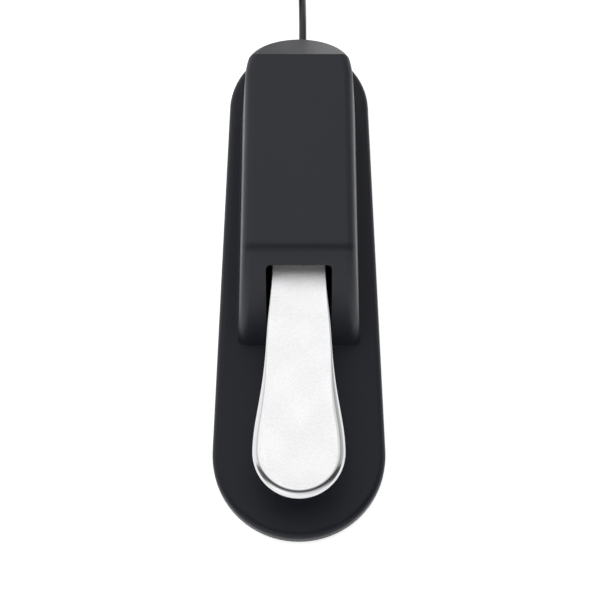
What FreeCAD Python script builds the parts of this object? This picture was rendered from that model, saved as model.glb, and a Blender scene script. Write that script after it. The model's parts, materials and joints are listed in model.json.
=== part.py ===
"""Sustain pedal: a spring-returned foot switch with a 6.35 mm plug.  Lengths are millimetres.

Frame: +X right, -Y the toe of the pedal, +Y the back where the lead leaves, +Z up.
The origin is the middle of the footprint, on the surface that the pedal stands on.
"""
import FreeCAD, Part
import math
import os
from FreeCAD import Vector

# ---- driving dimensions ------------------------------------------------------------------------
LENGTH = 256.4
TOE_RADIUS = 41.0               # round front end of the base, half of the overall width
HEEL_RADIUS = 35.0              # round back end
HEIGHT = 61.5
DECK_Z = 9.0                    # top of the flange round the housing
SKIRT_Z = 1.0                   # lower edge of the shell, above the floor
WALL = 2.4
EDGE_ROUND = 3.4                # rolled top edge of the flange
MAT_Z = 2.0                     # top of the rubber sole, bottom of the steel plate
PLATE_Z = 3.5                   # top of the steel plate
FIT = 0.3                       # gap left between neighbouring pieces

TOE_Y = TOE_RADIUS - LENGTH / 2
HEEL_Y = LENGTH / 2 - HEEL_RADIUS

# housing: a drafted block with an oval back, a sloped back facet and a bowed front
FOOT_HALF = 28.5                # half width at the oval's middle, where the housing meets the flange
CROWN_HALF = 25.6               # half width there at the height of the crown
BACK_Y = 84.0                   # middle of the oval back
BACK_EXTRA = 6.9                # the oval reaches this much further back than it is wide
HOUSING_TAPER = 0.0082          # sine of the angle between a side wall and the centre line
FACET_Y = 95.7                  # crease between the crown and the back facet
FACET_ANGLE = math.radians(50)
BOW_RADIUS = 107.0              # the front face is one arc in side view
BOW_Y, BOW_Z = 69.3, -17.2      # centre of that arc
CROWN_ROUND = 4.7
MOUTH_HALF = 15.4
MOUTH_Z = 54.6
CHEEK = 2.0                     # thickness of the walls inside the mouth

# pedal lever, laid out about the hinge axis and then tilted
PIVOT = Vector(0, 62, 38)
LEVER_TILT = 3.77               # degrees, toe end down
LEVER_TOP = 11.7                # top face above the hinge axis
LEVER_REACH = 177.6             # hinge axis to the toe
BULB_RADIUS = 21.4

LEVER_RIM = 8.0                 # depth of the rim at the lever's edge
LEVER_SKIN = 3.8                # metal left above the hollow
LEVER_BACK = 18.0               # behind the hinge axis
LIP_ROUND = 2.6
NECK = [                        # (along the lever, half width) from the bulb back to the hidden end
    (-140.0, 19.8),
    (-125.3, 17.3),
    (-109.7, 15.5),
    (-95.0, 14.5),
    (-82.0, 13.4),
    (-66.0, 12.9),
    (-40.0, 12.4),
]

# hinge and carrier
AXLE_RADIUS = 2.5
AXLE_HALF = 19.6
CLIP_X = 17.2
EAR_X = 14.4                    # inner face of the bracket's ears
PLATE = 2.0                     # folded steel of the bracket and the carrier
BUSH_RADIUS = 4.0
CARRIER_TOP = 7.2               # above the hinge axis, where the lever sits on it
CARRIER_HALF = 13.0
LEG_Y = 22.0                    # tail leg, behind the hinge axis
LEG_END = -30.8
CARRIER_BOLTS = [(-6.5, -20.0), (6.5, -20.0), (-6.5, 13.0), (6.5, 13.0)]
BRACKET_BOLTS = [(-9.0, 50.0), (9.0, 50.0), (-9.0, 76.0), (9.0, 76.0)]

# spring and stops
SPRING_Y = 23.5
SPRING_RADIUS = 7.0
WIRE_RADIUS = 0.9
SPRING_TURNS = 9.5
GUIDE_Z = 38.3                  # level face that the spring pushes on
REST_Z = 8.4                    # top of the pad under the tail leg
DOWN_Y = 90.8                   # face of the pad that ends the travel
TAB_Y = 93.0

# shell details
CREASE_ROUND = 7.0
FOOT_ROUND = 1.0
DECK_WALL = 2.2
MOUTH_DEPTH_Y = 2.0             # back end of the walls inside the mouth
MOUTH_CORNER = 2.0
BOSS_RADIUS = 3.2
BOSS_TOP = DECK_Z - 1
BOSSES = [(-22.0, -97.0), (22.0, -97.0), (-33.2, -12.0), (33.2, -12.0), (-26.5, 96.0), (26.5, 96.0)]
HEAD_RADIUS = 2.7               # countersunk heads in the steel plate
SCREW_HOLE = 1.6
GROOVE_MARGIN = 7.0
GROOVE_PITCH = 6.0
GROOVE_WIDTH = 1.8
GROOVE_DEPTH = 0.6

# switches
BOARD_Z = 8.0
BOARD_SCREWS = [(-14.5, 103.2), (-9.5, 103.2)]
SWITCH_Y = 92.0
PLUNGER_X, PLUNGER_Z = -12.0, 12.9
PLUNGER_NOSE = 88.05
POLARITY_Y = 101.0
POLARITY_TOP = 8.5
KNOB_SLOT = (5.5, 13.5)

# lead and plug
CORD_RADIUS = 1.9
CORD_X, CORD_Z = 1.9, 13.5
CORD_HOLE = 3.8
EXIT_Y = 127.4
STUB_Y = 104.0
CORD_EXIT = Vector(CORD_X, EXIT_Y, CORD_Z)
CLAMP_Y = 106.8
CLAMP_SCREWS = (CORD_X - 5.4, CORD_X + 5.4)
ARC_SHARE = 0.45
COIL_CENTRE = Vector(-24.7, 197, 0)
COIL_MEAN = 22.0                # radius at the middle of the turns
COIL_COLUMNS = 3
COIL_LAYERS = 4
TURN_PITCH = 4.0
LAYER_PITCH = 3.95
COIL_Z = 2.7                    # centre of the lowest turns, which rest on the tie
TIE = 0.7
TIE_WIDTH = 7.0
TIE_ANGLE = 150
COIL_TOP_Z = COIL_Z + (COIL_LAYERS - 1) * LAYER_PITCH
COIL_EDGE_X = COIL_CENTRE.x + COIL_MEAN + TURN_PITCH
PLUG_X, PLUG_Y, PLUG_Z = -1.2, 256.0, 5.8
PLUG_START = Vector(PLUG_X, PLUG_Y, PLUG_Z)
BOOT_LENGTH = 12.0
HANDLE_LENGTH = 28.0
SLEEVE_RADIUS = 3.175
SLEEVE_LENGTH = 22.0
RING_LENGTH = 1.0
RING_RADIUS = 2.95              # the insulating ring is sunk a little below the metal
LEAD_ROUTE = [                  # out of the boot, down to the floor, into the coil's lowest turn
    CORD_EXIT,
    Vector(CORD_X, 136.4, CORD_Z),
    Vector(1.8, 147.4, 10.2),
    Vector(1.6, 159.4, 5.6),
    Vector(1.4, 171.4, 3.1),
    Vector(COIL_EDGE_X, 184.6, COIL_Z),
    Vector(COIL_EDGE_X, COIL_CENTRE.y, COIL_Z),
]
TAIL_ROUTE = [                  # off the coil's top turn, down to the plug
    Vector(COIL_EDGE_X, COIL_CENTRE.y, COIL_TOP_Z),
    Vector(1.1, 209.0, 13.9),
    Vector(0.4, 221.0, 11.2),
    Vector(-0.6, 233.0, 7.5),
    Vector(PLUG_X, 245.0, PLUG_Z),
    PLUG_START,
]


def save(name, shape):
    shape.exportStep("parts/" + name + ".step")


def box(x0, x1, y0, y1, z0, z1):
    return Part.makeBox(x1 - x0, y1 - y0, z1 - z0, Vector(x0, y0, z0))


def rod(radius, start, end):
    return Part.makeCylinder(radius, (end - start).Length, start, end - start)


def rounded(shape, radius, wanted):
    """Round the edges that the test picks."""
    return shape.makeFillet(radius, [edge for edge in shape.Edges if wanted(edge)])


def capsule(front_r, front_y, back_r, back_y, z):
    """Tapered outline: two round ends joined by their common tangents."""
    lean = (front_r - back_r) / (back_y - front_y)
    side = Vector(math.sqrt(1 - lean * lean), lean, 0)
    mirror = Vector(-side.x, side.y, 0)
    front, back = Vector(0, front_y, z), Vector(0, back_y, z)
    corner = [front + side * front_r, back + side * back_r, back + mirror * back_r, front + mirror * front_r]
    edges = [
        Part.LineSegment(corner[0], corner[1]),
        Part.Arc(corner[1], back + Vector(0, back_r, 0), corner[2]),
        Part.LineSegment(corner[2], corner[3]),
        Part.Arc(corner[3], front - Vector(0, front_r, 0), corner[0]),
    ]
    return Part.Wire([edge.toShape() for edge in edges])


def base_block(inset, z0, z1):
    """Solid with the footprint's outline, drawn in by inset."""
    outline = capsule(TOE_RADIUS - inset, TOE_Y, HEEL_RADIUS - inset, HEEL_Y, z0)
    return Part.Face(outline).extrude(Vector(0, 0, z1 - z0))


def housing_outline(half_width, z):
    """Two side walls that run into half an oval, tangent to it."""
    front_y = -60.0
    reach = half_width + BACK_EXTRA
    slope = math.tan(math.asin(HOUSING_TAPER))
    turn = math.atan(slope * reach / half_width)
    oval = Part.Ellipse(Vector(0, BACK_Y + reach, z), Vector(half_width, BACK_Y, z), Vector(0, BACK_Y, z))
    tangent = Vector(half_width * math.cos(turn), BACK_Y + reach * math.sin(turn), z)
    other = Vector(-tangent.x, tangent.y, z)
    half = tangent.x + (tangent.y - front_y) * slope
    edges = [
        Part.LineSegment(Vector(half, front_y, z), tangent),
        Part.ArcOfEllipse(oval, turn - math.pi / 2, math.pi / 2 - turn),
        Part.LineSegment(other, Vector(-half, front_y, z)),
        Part.LineSegment(Vector(-half, front_y, z), Vector(half, front_y, z)),
    ]
    return Part.Wire([edge.toShape() for edge in edges])


def housing_block(inset, bottom):
    """Raised part of the shell, drawn in by inset on every side but the bottom."""
    draft = (FOOT_HALF - CROWN_HALF) / (HEIGHT - DECK_Z)
    foot = FOOT_HALF - inset + draft * (DECK_Z - bottom)
    crown = CROWN_HALF - inset
    tower = Part.makeLoft([housing_outline(foot, bottom), housing_outline(crown, HEIGHT)], True, True)
    top = HEIGHT - inset
    bow = BOW_RADIUS - inset

    def bow_y(z):
        return BOW_Y - math.sqrt(bow * bow - (z - BOW_Z) ** 2)

    def facet_y(z):
        return FACET_Y - (inset + (z - HEIGHT) * math.cos(FACET_ANGLE)) / math.sin(FACET_ANGLE)

    far = -70.0
    low = Vector(far, bow_y(bottom), bottom)
    middle = Vector(far, bow_y((bottom + top) / 2), (bottom + top) / 2)
    front = Vector(far, bow_y(top), top)
    crease = Vector(far, facet_y(top), top)
    tail = Vector(far, facet_y(bottom), bottom)
    profile = Part.Wire([
        Part.Arc(low, middle, front).toShape(),
        Part.LineSegment(front, crease).toShape(),
        Part.LineSegment(crease, tail).toShape(),
        Part.LineSegment(tail, low).toShape(),
    ])
    return tower.common(Part.Face(profile).extrude(Vector(-2 * far, 0, 0)))


def housing_skin():
    """Outer form of the housing with its crease and edges rounded."""
    def front_crease(edge):
        bounds = edge.BoundBox
        return bounds.ZMin > HEIGHT - 0.1 and bounds.YMax < 0 and bounds.YLength < 0.5

    def outline_edge(edge):
        bounds = edge.BoundBox
        crosswise = bounds.XLength > 40 and bounds.YLength < 0.5
        seam = bounds.YLength < 0.5 and bounds.ZLength > 40
        return bounds.ZMax > DECK_Z and not crosswise and not seam

    block = rounded(housing_block(0, DECK_Z - 1), CREASE_ROUND, front_crease)
    return rounded(block, CROWN_ROUND, outline_edge)


def top_shell():
    """One moulding: flange, housing, mouth and screw bosses."""
    def rim(edge):
        return edge.BoundBox.ZMin > DECK_Z - 0.01

    def housing_foot(edge):
        bounds = edge.BoundBox
        flat = bounds.ZLength < 0.01 and abs(bounds.ZMax - DECK_Z) < 0.01
        return flat and bounds.YMax < BACK_Y + FOOT_HALF + BACK_EXTRA + 1

    flange = rounded(base_block(0, SKIRT_Z, DECK_Z), EDGE_ROUND, rim)
    outer = flange.fuse(housing_skin())
    outer = rounded(outer, FOOT_ROUND, housing_foot)
    ceiling = DECK_Z - DECK_WALL
    mouth_walls = box(-MOUTH_HALF - CHEEK, MOUTH_HALF + CHEEK, -50, MOUTH_DEPTH_Y, ceiling, MOUTH_Z + CHEEK)
    mouth_walls = mouth_walls.common(outer)
    shell = outer.cut(base_block(WALL, SKIRT_Z - 1, ceiling))
    shell = shell.cut(housing_block(WALL, SKIRT_Z - 1))
    bosses = [rod(BOSS_RADIUS, Vector(x, y, PLATE_Z), Vector(x, y, BOSS_TOP)) for x, y in BOSSES]
    shell = shell.fuse([mouth_walls] + bosses)
    mouth = box(-MOUTH_HALF, MOUTH_HALF, -50, MOUTH_DEPTH_Y + 1, DECK_Z, MOUTH_Z)
    mouth = rounded(mouth, MOUTH_CORNER, lambda edge: edge.BoundBox.ZMin > MOUTH_Z - 0.01
                    and edge.BoundBox.XLength < 0.01)
    shell = shell.cut(mouth)
    pilots = [rod(1.25, Vector(x, y, 0), Vector(x, y, BOSS_TOP)) for x, y in BOSSES]
    cord_hole = rod(CORD_HOLE, Vector(CORD_X, 100, CORD_Z), Vector(CORD_X, LENGTH / 2, CORD_Z))
    return shell.cut(pilots + [cord_hole])


# ---- floor of the shell --------------------------------------------------------------------------

def base_plate():
    plate = base_block(WALL + FIT, MAT_Z, PLATE_Z)
    holes = [countersink(x, y) for x, y in BOSSES] + [countersink(x, y) for x, y in BRACKET_BOLTS]
    slot = box(KNOB_SLOT[0], KNOB_SLOT[1], POLARITY_Y - 1.7, POLARITY_Y + 1.7, MAT_Z - 1, PLATE_Z + 1)
    return plate.cut(holes + [slot])


def countersink(x, y):
    """Clearance hole with a countersink at the underside of the plate."""
    cone = Part.makeCone(HEAD_RADIUS + 0.2, SCREW_HOLE, PLATE_Z - MAT_Z, Vector(x, y, MAT_Z))
    return cone.fuse(rod(SCREW_HOLE, Vector(x, y, 0), Vector(x, y, PLATE_Z + 1)))


def countersunk_screw(x, y, shank, top):
    head = Part.makeCone(HEAD_RADIUS, shank, PLATE_Z - MAT_Z, Vector(x, y, MAT_Z))
    screw = head.fuse(rod(shank, Vector(x, y, MAT_Z), Vector(x, y, top)))
    drive = box(x - 1.4, x + 1.4, y - 0.35, y + 0.35, MAT_Z - 1, MAT_Z + 0.7)
    cross = box(x - 0.35, x + 0.35, y - 1.4, y + 1.4, MAT_Z - 1, MAT_Z + 0.7)
    return screw.cut([drive, cross])


def base_screws():
    return Part.makeCompound([countersunk_screw(x, y, 1.2, BOSS_TOP - 0.3) for x, y in BOSSES])


def rubber_mat():
    """Sole with cross grooves; it has holes for the screws and a window for the slide switch."""
    mat = base_block(WALL + FIT, 0, MAT_Z)
    access = [rod(3.4, Vector(x, y, -1), Vector(x, y, MAT_Z + 1)) for x, y in BOSSES]
    window = box(KNOB_SLOT[0] - 3, KNOB_SLOT[1] + 3, POLARITY_Y - 4, POLARITY_Y + 4, -1, MAT_Z + 1)
    field = base_block(GROOVE_MARGIN, -1, GROOVE_DEPTH)
    rows = int((LENGTH / 2 - GROOVE_MARGIN) / GROOVE_PITCH)
    centres = [(row + 0.5) * GROOVE_PITCH for row in range(-rows, rows)]
    half = GROOVE_WIDTH / 2
    grooves = [box(-50, 50, y - half, y + half, -1, GROOVE_DEPTH) for y in centres]
    guard = [rod(6.0, Vector(x, y, -1), Vector(x, y, MAT_Z)) for x, y in BOSSES]
    guard.append(box(KNOB_SLOT[0] - 5, KNOB_SLOT[1] + 5, POLARITY_Y - 6, POLARITY_Y + 6, -1, MAT_Z))
    pattern = Part.makeCompound(grooves).common(field).cut(guard)
    return mat.cut(access + [window]).cut(pattern)


# ---- hinge ---------------------------------------------------------------------------------------

def ear(x0, x1, outline):
    """Upright plate between two x, from (y, z) points."""
    points = [Vector(x0, y, z) for y, z in outline]
    return Part.Face(Part.makePolygon(points + points[:1])).extrude(Vector(x1 - x0, 0, 0))


def pivot_bracket():
    """Folded U with two ears for the axle and a tab for the stop."""
    web = box(-EAR_X - PLATE, EAR_X + PLATE, 44, 94.5, PLATE_Z, PLATE_Z + PLATE)
    parts = []
    for x0 in (-EAR_X - PLATE, EAR_X):
        x1 = x0 + PLATE
        outline = [(44, PLATE_Z), (80, PLATE_Z), (80, 12), (68.8, 36), (55.2, 36), (44, 12)]
        parts.append(ear(x0, x1, outline))
        parts.append(rod(7, Vector(x0, PIVOT.y, PIVOT.z), Vector(x1, PIVOT.y, PIVOT.z)))
    parts.append(box(-4.5, 8, TAB_Y, TAB_Y + 1.5, PLATE_Z, 17))
    bracket = web.fuse(parts)
    holes = [rod(1.6, Vector(x, y, 0), Vector(x, y, 10)) for x, y in BRACKET_BOLTS]
    bore = rod(AXLE_RADIUS + 0.02, Vector(-40, PIVOT.y, PIVOT.z), Vector(40, PIVOT.y, PIVOT.z))
    corner = box(-40, -4.5, TAB_Y - 1, 95, 0, 10)
    return bracket.cut(holes + [bore, corner])


def bracket_screws():
    return Part.makeCompound([countersunk_screw(x, y, 1.5, 9.0) for x, y in BRACKET_BOLTS])


def hex_nut(x, y, z, across, height, bore):
    radius = across / math.sqrt(3)
    corners = [Vector(x + radius * math.cos(k * math.pi / 3), y + radius * math.sin(k * math.pi / 3), z)
               for k in range(7)]
    nut = Part.Face(Part.makePolygon(corners)).extrude(Vector(0, 0, height))
    return nut.cut(rod(bore, Vector(x, y, z - 1), Vector(x, y, z + height + 1)))


def bracket_nuts():
    return Part.makeCompound([hex_nut(x, y, PLATE_Z + PLATE, 5.5, 2.4, 1.52) for x, y in BRACKET_BOLTS])


def pivot_axle():
    y, z = PIVOT.y, PIVOT.z
    axle = rod(AXLE_RADIUS, Vector(-AXLE_HALF, y, z), Vector(AXLE_HALF, y, z))
    rings = []
    for side in (-1, 1):
        start, end = Vector(side * CLIP_X, y, z), Vector(side * (CLIP_X + 0.7), y, z)
        rings.append(rod(4, start, end).cut(rod(2.0, start, end)))
    return axle.cut(rings)


def axle_clips():
    """Open retaining rings that sit in the axle's grooves."""
    y, z = PIVOT.y, PIVOT.z
    clips = []
    for side in (-1, 1):
        start, end = Vector(side * (CLIP_X + 0.05), y, z), Vector(side * (CLIP_X + 0.6), y, z)
        ring = rod(4.4, start, end).cut(rod(2.05, start, end))
        clips.append(ring.cut(box(-30, 30, y - 1.5, y + 1.5, z - 6, z)))
    return Part.makeCompound(clips)


# ---- pedal lever, about the hinge axis -----------------------------------------------------------

def tilt(shape):
    """Move a shape laid out about the hinge axis to where the resting pedal is."""
    placed = shape.copy()
    placed.rotate(Vector(0, 0, 0), Vector(1, 0, 0), LEVER_TILT)
    placed.translate(PIVOT)
    return placed


def lever_outline(inset, z, back_y):
    """Spoon-shaped plan: a round bulb that runs into a narrow neck."""
    bulb_y = BULB_RADIUS - LEVER_REACH
    radius = BULB_RADIUS - inset
    stations = [(half - inset, y) for y, half in NECK]
    end_half = stations[-1][0]
    sides = []
    for side in (1, -1):
        points = [Vector(side * radius, bulb_y, z)] + [Vector(side * x, y, z) for x, y in stations]
        curve = Part.BSplineCurve()
        curve.interpolate(Points=points, InitialTangent=Vector(0, 1, 0), FinalTangent=Vector(0, 1, 0))
        sides.append(curve.toShape())
    corners = [Vector(end_half, stations[-1][1], z), Vector(end_half, back_y, z),
               Vector(-end_half, back_y, z), Vector(-end_half, stations[-1][1], z)]
    straight = [Part.LineSegment(a, b).toShape() for a, b in zip(corners[:-1], corners[1:])]
    toe = Part.Arc(Vector(-radius, bulb_y, z), Vector(0, bulb_y - radius, z), Vector(radius, bulb_y, z))
    return Part.Wire([toe.toShape(), sides[0]] + straight + [sides[1]])


def lever():
    """Casting with a rolled edge, hollow underneath, thinner where the carrier bolts on."""
    def top_edge(edge):
        bounds = edge.BoundBox
        return bounds.ZMin > LEVER_TOP - 0.01 and bounds.YMax < LEVER_BACK - 0.01

    low = LEVER_TOP - LEVER_RIM
    body = Part.Face(lever_outline(0, low, LEVER_BACK)).extrude(Vector(0, 0, LEVER_RIM))
    body = rounded(body, LIP_ROUND, top_edge)
    pocket = Part.Face(lever_outline(3.0, low - 1, -60)).extrude(Vector(0, 0, LEVER_RIM - LEVER_SKIN + 1))
    ribs = [box(-1, 1, -LEVER_REACH, -60, low + 1, LEVER_TOP)]
    ribs += [box(-30, 30, y - 1, y + 1, low + 1, LEVER_TOP) for y in (-150, -120, -90)]
    pocket = pocket.cut(ribs)
    relief = box(-30, 30, -58, LEVER_BACK + 1, low - 1, CARRIER_TOP)
    holes = [rod(2.02, Vector(x, y, 0), Vector(x, y, LEVER_TOP - 1.4)) for x, y in CARRIER_BOLTS]
    return tilt(body.cut([pocket, relief] + holes))


def carrier():
    """Folded steel channel: top plate, two hinge ears and a tail leg that meets the stops."""
    low = CARRIER_TOP - PLATE
    plate = box(-CARRIER_HALF, CARRIER_HALF, -50, 24, low, CARRIER_TOP)
    outline = [(-18, low), (-7, -5), (-3, -7.5), (3, -7.5), (7, -5), (18, low)]
    ears = [ear(x0, x0 + PLATE, outline) for x0 in (-CARRIER_HALF, CARRIER_HALF - PLATE)]
    leg = box(-6, 6, LEG_Y, LEG_Y + PLATE, LEG_END, CARRIER_TOP)
    toe = box(-17, 6, LEG_Y, LEG_Y + PLATE, LEG_END + 1.8, LEG_END + 10.8)
    holes = [rod(2.1, Vector(x, y, 0), Vector(x, y, CARRIER_TOP + 1)) for x, y in CARRIER_BOLTS]
    bore = rod(BUSH_RADIUS + 0.02, Vector(-40, 0, 0), Vector(40, 0, 0))
    return tilt(plate.fuse(ears + [leg, toe]).cut(holes + [bore]))


def carrier_screws():
    low = CARRIER_TOP - PLATE
    screws = []
    for x, y in CARRIER_BOLTS:
        head = rod(3.5, Vector(x, y, low - 2.4), Vector(x, y, low))
        shank = rod(2.0, Vector(x, y, low - 1), Vector(x, y, LEVER_TOP - 1.6))
        socket = [box(x - 2, x + 2, y - 0.5, y + 0.5, low - 3, low - 1.2),
                  box(x - 0.5, x + 0.5, y - 2, y + 2, low - 3, low - 1.2)]
        screws.append(head.fuse(shank).cut(socket))
    return tilt(Part.makeCompound(screws))


def pivot_bushes():
    bushes = []
    for side in (-1, 1):
        inner, outer = side * (CARRIER_HALF - PLATE - 0.4), side * CARRIER_HALF
        sleeve = rod(BUSH_RADIUS, Vector(inner, 0, 0), Vector(outer, 0, 0))
        flange = rod(BUSH_RADIUS + 1.6, Vector(outer, 0, 0), Vector(outer + side, 0, 0))
        bore = rod(AXLE_RADIUS + 0.05, Vector(-40, 0, 0), Vector(40, 0, 0))
        bushes.append(sleeve.fuse(flange).cut(bore))
    return tilt(Part.makeCompound(bushes))


# ---- return spring and stops ---------------------------------------------------------------------

def spring_cup():
    x, y = 0, SPRING_Y
    floor = PLATE_Z + 1.5
    cup = rod(9.6, Vector(x, y, PLATE_Z), Vector(x, y, PLATE_Z + 5))
    cup = cup.cut(rod(8.3, Vector(x, y, floor), Vector(x, y, PLATE_Z + 6)))
    return cup.fuse(rod(5.4, Vector(x, y, PLATE_Z), Vector(x, y, PLATE_Z + 8)))


def return_spring():
    """Compression spring with both ends ground flat."""
    low, high = PLATE_Z + 1.5, GUIDE_Z
    height = high - low
    helix = Part.makeHelix(height / SPRING_TURNS, height, SPRING_RADIUS)
    start = Vector(SPRING_RADIUS, 0, 0)
    section = Part.Wire([Part.Circle(start, Vector(0, 1, 0), WIRE_RADIUS).toShape()])
    coil = Part.Wire(helix).makePipeShell([section], True, True)
    coil.translate(Vector(0, SPRING_Y, low))
    return coil.common(box(-20, 20, SPRING_Y - 20, SPRING_Y + 20, low + 0.02, high - 0.02))


def spring_guide():
    """Wedge-topped nylon guide: level under the spring, tilted with the carrier above."""
    y = SPRING_Y
    flange = rod(8.6, Vector(0, y, GUIDE_Z), Vector(0, y, GUIDE_Z + 8))
    above = tilt(box(-40, 40, -120, 60, CARRIER_TOP - PLATE, 40))
    spigot = rod(5.4, Vector(0, y, GUIDE_Z - 6), Vector(0, y, GUIDE_Z + 0.5))
    return flange.cut(above).fuse(spigot)


def rest_pad():
    return box(-5, 5, 83.5, 90.3, PLATE_Z + PLATE, REST_Z)


def down_pad():
    pad = box(-3.5, 5, DOWN_Y, TAB_Y, 10.3, 16.3)
    return rounded(pad, 0.7, lambda edge: edge.BoundBox.YMax < DOWN_Y + 0.01)


# ---- switches ------------------------------------------------------------------------------------

def circuit_board():
    board = box(-18.8, -5, 91, 105.5, BOARD_Z, BOARD_Z + 1.6)
    board = rounded(board, 2.0, lambda edge: edge.BoundBox.XMax < -18.7 and edge.BoundBox.YMin > 105)
    return board.cut([rod(1.1, Vector(x, y, 0), Vector(x, y, 20)) for x, y in BOARD_SCREWS])


def board_posts():
    posts = [rod(2.4, Vector(x, y, PLATE_Z), Vector(x, y, BOARD_Z)) for x, y in BOARD_SCREWS]
    return Part.makeCompound([post.cut(rod(0.85, Vector(x, y, 5), Vector(x, y, 20)))
                              for post, (x, y) in zip(posts, BOARD_SCREWS)])


def board_screws():
    top = BOARD_Z + 1.6
    screws = []
    for x, y in BOARD_SCREWS:
        head = rod(1.9, Vector(x, y, top), Vector(x, y, top + 1.3))
        head = rounded(head, 0.5, lambda edge: edge.BoundBox.ZMin > top + 1.2)
        screws.append(head.fuse(rod(0.83, Vector(x, y, 5.2), Vector(x, y, top + 0.5))))
    return Part.makeCompound(screws)


def switch_body():
    body = box(-18.6, -5.8, SWITCH_Y, SWITCH_Y + 6.5, BOARD_Z + 1.6, BOARD_Z + 7.4)
    axis = Vector(PLUNGER_X, SWITCH_Y - 1, PLUNGER_Z)
    return body.cut(rod(1.38, axis, axis + Vector(0, 5.6, 0)))


def switch_plunger():
    """Small button with a domed nose that the carrier's toe pushes back."""
    radius = 1.3
    nose = Vector(PLUNGER_X, PLUNGER_NOSE + radius, PLUNGER_Z)
    stem = rod(radius, nose, Vector(PLUNGER_X, SWITCH_Y + 1.9, PLUNGER_Z))
    return stem.fuse(Part.makeSphere(radius, nose))


def switch_pins():
    low, back = BOARD_Z + 1.6, SWITCH_Y + 6.5
    pins = []
    for x in (-17, -12, -7):
        reach = box(x - 0.4, x + 0.4, back, back + 1.8, low + 2.8, low + 3.3)
        drop = box(x - 0.4, x + 0.4, back + 1.3, back + 1.8, low, low + 3.3)
        pins.append(reach.fuse(drop))
    return Part.makeCompound(pins)


def polarity_body():
    body = box(KNOB_SLOT[0] - 2.5, KNOB_SLOT[1] + 3.5, POLARITY_Y - 3, POLARITY_Y + 3, PLATE_Z, POLARITY_TOP)
    return body.cut(box(KNOB_SLOT[0], KNOB_SLOT[1], POLARITY_Y - 1.3, POLARITY_Y + 1.3, PLATE_Z - 1, 6.2))


def polarity_knob():
    """Ribbed slider, sunk in the sole so that it isn't moved by accident."""
    left = KNOB_SLOT[0] + 0.4
    knob = box(left, left + 3.2, POLARITY_Y - 1.1, POLARITY_Y + 1.1, 0.8, 5.9)
    grips = [box(left + shift, left + shift + 0.5, POLARITY_Y - 2, POLARITY_Y + 2, 0, 1.1)
             for shift in (0.6, 1.4, 2.2)]
    return knob.cut(grips)


def polarity_pins():
    xs = [KNOB_SLOT[0] + step for step in (0.0, 4.5, 9.0)]
    return Part.makeCompound([box(x - 0.3, x + 0.3, POLARITY_Y - 0.8, POLARITY_Y + 0.8,
                                  POLARITY_TOP, POLARITY_TOP + 2.4) for x in xs])


# ---- lead ----------------------------------------------------------------------------------------

def route(name, points):
    """Straight runs joined by tangent arcs, each as large as its two runs allow."""
    edges = []
    radii = []
    start = points[0]
    for before, corner, after in zip(points, points[1:], points[2:]):
        back, ahead = before - corner, after - corner
        half_turn = (math.pi - back.getAngle(ahead)) / 2
        reach = ARC_SHARE * min(back.Length, ahead.Length)
        radii.append(reach / math.tan(half_turn))
        back, ahead = back.normalize(), ahead.normalize()
        enter, leave = corner + back * reach, corner + ahead * reach
        bisector = (back + ahead).normalize()
        sag = radii[-1] / math.cos(half_turn) - radii[-1]
        edges.append(Part.LineSegment(start, enter).toShape())
        edges.append(Part.Arc(enter, corner + bisector * sag, leave).toShape())
        start = leave
    edges.append(Part.LineSegment(start, points[-1]).toShape())
    print(name, "bend radii", [round(radius, 1) for radius in radii])
    return Part.Wire(edges)


def tube(name, points, radius):
    """Round solid along a route; its volume is compared with section times length."""
    path = route(name, points)
    section = Part.Wire([Part.Circle(points[0], points[1] - points[0], radius).toShape()])
    solid = path.makePipeShell([section], True, False)
    expected = math.pi * radius * radius * path.Length
    print(name, "length", round(path.Length, 1), "volume ratio", round(solid.Volume / expected, 4))
    return solid


def turned(profile, origin):
    """Solid of revolution about the lead's direction, +Y, from (y, radius) points."""
    points = [Vector(origin.x + radius, y, origin.z) for y, radius in profile]
    points = [Vector(origin.x, profile[0][0], origin.z)] + points + [Vector(origin.x, profile[-1][0], origin.z)]
    face = Part.Face(Part.makePolygon(points + points[:1]))
    return face.revolve(Vector(origin.x, 0, origin.z), Vector(0, 1, 0), 360)


def strain_relief():
    """Boot snapped into the back wall: inner flange, neck, collar and a ringed taper."""
    collar = 120.7
    profile = [(113.7, 5.2), (115.3, 5.2), (115.3, 3.7), (collar - 1.1, 3.7), (collar - 1.1, 4.0), (collar, 4.0)]
    step = (EXIT_Y - collar) / 4
    for ring in range(4):
        y = collar + ring * step
        outer = 3.8 - 0.32 * ring
        profile += [(y, outer), (y + 0.62 * step, outer - 0.2), (y + 0.62 * step, outer - 0.7),
                    (y + step, outer - 0.8)]
    boot = turned(profile, CORD_EXIT)
    return boot.cut(rod(CORD_RADIUS, Vector(CORD_X, 100, CORD_Z), Vector(CORD_X, 140, CORD_Z)))


def cord_stub():
    """Stretch of the lead's jacket inside the shell, from the clamp out through the boot."""
    return rod(CORD_RADIUS, Vector(CORD_X, STUB_Y, CORD_Z), CORD_EXIT)


def cord_coil():
    """Outer shape of the stowed turns, notched where the tie passes under them."""
    low = COIL_Z - CORD_RADIUS
    high = COIL_Z + (COIL_LAYERS - 1) * LAYER_PITCH + CORD_RADIUS
    spread = (COIL_COLUMNS - 1) / 2 * TURN_PITCH + CORD_RADIUS
    outer = rod(COIL_MEAN + spread, COIL_CENTRE + Vector(0, 0, low), COIL_CENTRE + Vector(0, 0, high))
    inner = rod(COIL_MEAN - spread, COIL_CENTRE + Vector(0, 0, low), COIL_CENTRE + Vector(0, 0, high))
    ring = outer.cut(inner)
    return rounded(ring, 1.6, lambda edge: edge.BoundBox.ZLength < 0.01)


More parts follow.
